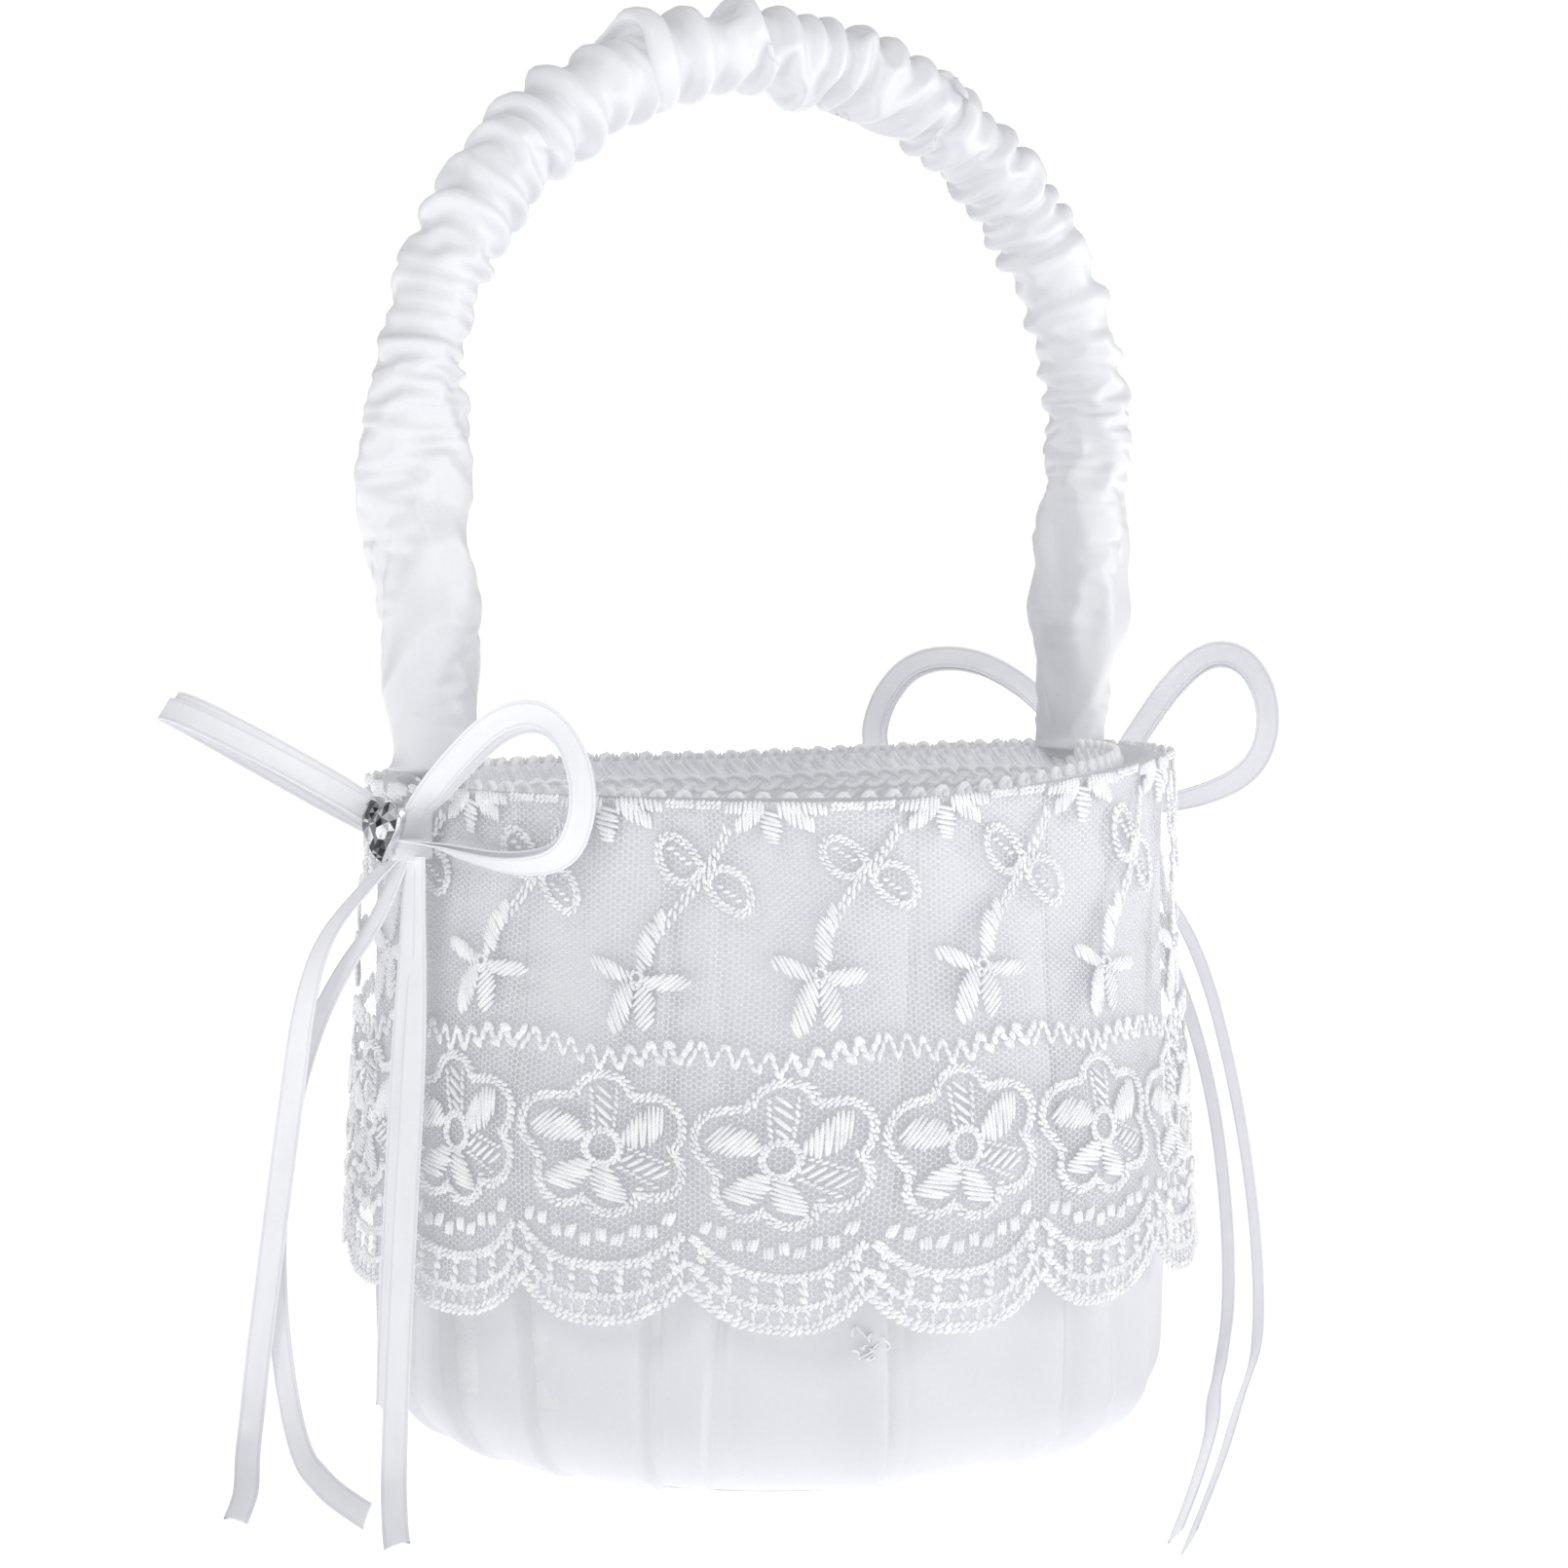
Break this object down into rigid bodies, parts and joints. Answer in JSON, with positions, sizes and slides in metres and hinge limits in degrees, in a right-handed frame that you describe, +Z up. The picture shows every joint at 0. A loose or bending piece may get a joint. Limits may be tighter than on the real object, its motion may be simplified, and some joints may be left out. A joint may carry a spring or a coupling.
{
  "type": "flower girl basket",
  "caption": "Round satin basket with an embroidered lace skirt, a ruched satin arch handle, and a ribbon bow with a stone and hanging tails at each end of the handle.",
  "frame": {"origin": "centre of the flat face under the basket, which it stands on", "axes": "+Z up; the handle arches along X, with one bow at each end of it"},
  "size_m": [0.2045, 0.1805, 0.2366],
  "materials": {
    "satin": "white satin with a soft sheen",
    "lining_satin": "white satin lining",
    "ruched_satin": "gathered white satin",
    "fleece": "matte polyester fleece",
    "card": "grey board; wood stands for card",
    "gimp_braid": "glossy rayon cord",
    "lace": "embroidered net",
    "core_plastic": "matte",
    "staple_steel": "plain wire",
    "ribbon": "single-face satin ribbon",
    "thread": "matte thread",
    "gem": "faceted, foil backed",
    "silver": "polished"
  },
  "bodies": {
    "basket": {"satin_cover": "satin", "bottom_disc": "satin", "floor_satin": "satin", "lining_wall": "lining_satin", "handle_sleeve": "ruched_satin", "base_wadding": "fleece", "wall_wadding": "fleece", "floor_wadding": "fleece", "handle_wadding": "fleece", "base_board": "card", "wall_board": "card", "floor_board": "card", "gimp_braid": "gimp_braid", "lace_skirt": "lace", "handle_core": "core_plastic", "handle_staples": "staple_steel", "left_bow_wrap": "ribbon", "left_bow_stitches": "thread", "left_gem": "gem", "left_gem_setting": "silver", "left_bow_front_loop_outer": "ribbon", "left_bow_front_loop_inner": "ribbon", "left_bow_back_loop_outer": "ribbon", "left_bow_back_loop_inner": "ribbon", "right_bow_wrap": "ribbon", "right_bow_stitches": "thread", "right_gem": "gem", "right_gem_setting": "silver", "right_bow_front_loop_outer": "ribbon", "right_bow_front_loop_inner": "ribbon", "right_bow_back_loop_outer": "ribbon", "right_bow_back_loop_inner": "ribbon"},
    "left_tails": {"left_tail_outer": "ribbon", "left_tail_back": "ribbon", "left_tail_middle": "ribbon", "left_tail_front": "ribbon"},
    "right_tails": {"right_tail_outer": "ribbon", "right_tail_front": "ribbon", "right_tail_middle": "ribbon", "right_tail_back": "ribbon"}
  },
  "joints": [
    {"name": "left_tails_sway", "type": "hinge", "parent": "basket", "child": "left_tails", "pos_m": [-0.0703, -0.0093, 0.0961], "axis": [0, 1, 0], "range_deg": [0, 45]},
    {"name": "right_tails_sway", "type": "hinge", "parent": "basket", "child": "right_tails", "pos_m": [0.0703, 0.007, 0.0961], "axis": [-1, 0, 0], "range_deg": [0, 30]}
  ]
}
